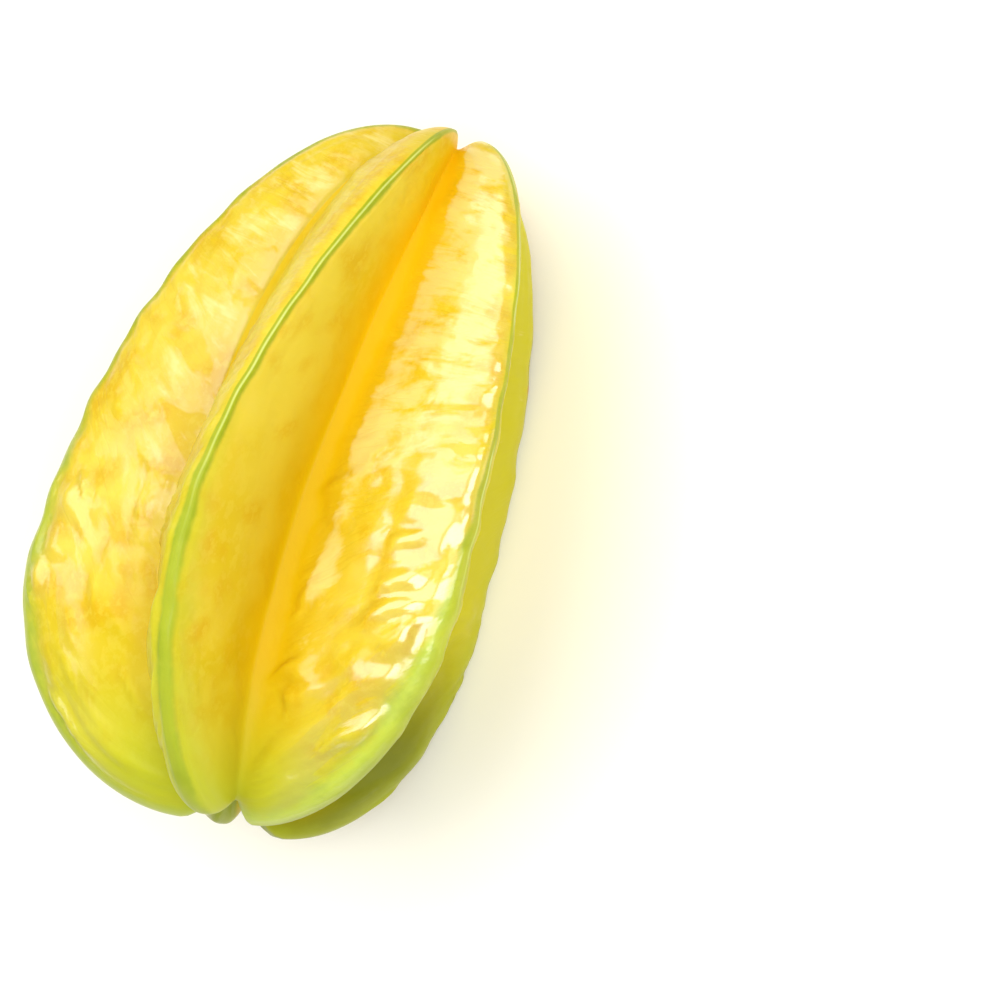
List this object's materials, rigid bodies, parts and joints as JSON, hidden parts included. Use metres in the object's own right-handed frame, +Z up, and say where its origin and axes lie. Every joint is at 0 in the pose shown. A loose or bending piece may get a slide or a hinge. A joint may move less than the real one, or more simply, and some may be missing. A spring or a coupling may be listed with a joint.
{
  "type": "star fruit",
  "caption": "Whole ripe star fruit with deep lengthwise ribs and a waxy yellow skin, narrow at the stem end and lobed at the blossom end, lying on its side.",
  "frame": {"origin": "on the surface that the fruit lies on, under the middle of its bounding box", "axes": "+X along the fruit, from its lobed blossom end to its narrow stem end; +Z up, away from the surface, with one rib pointing up and two ribs on the surface"},
  "size_m": [0.1148, 0.0722, 0.0673],
  "materials": {
    "skin": "waxy, glossy and slightly translucent; golden yellow, amber in the furrows, lime green along the rib edges and at the blossom end"
  },
  "bodies": {
    "root": {"star_fruit": "skin"}
  },
  "joints": []
}
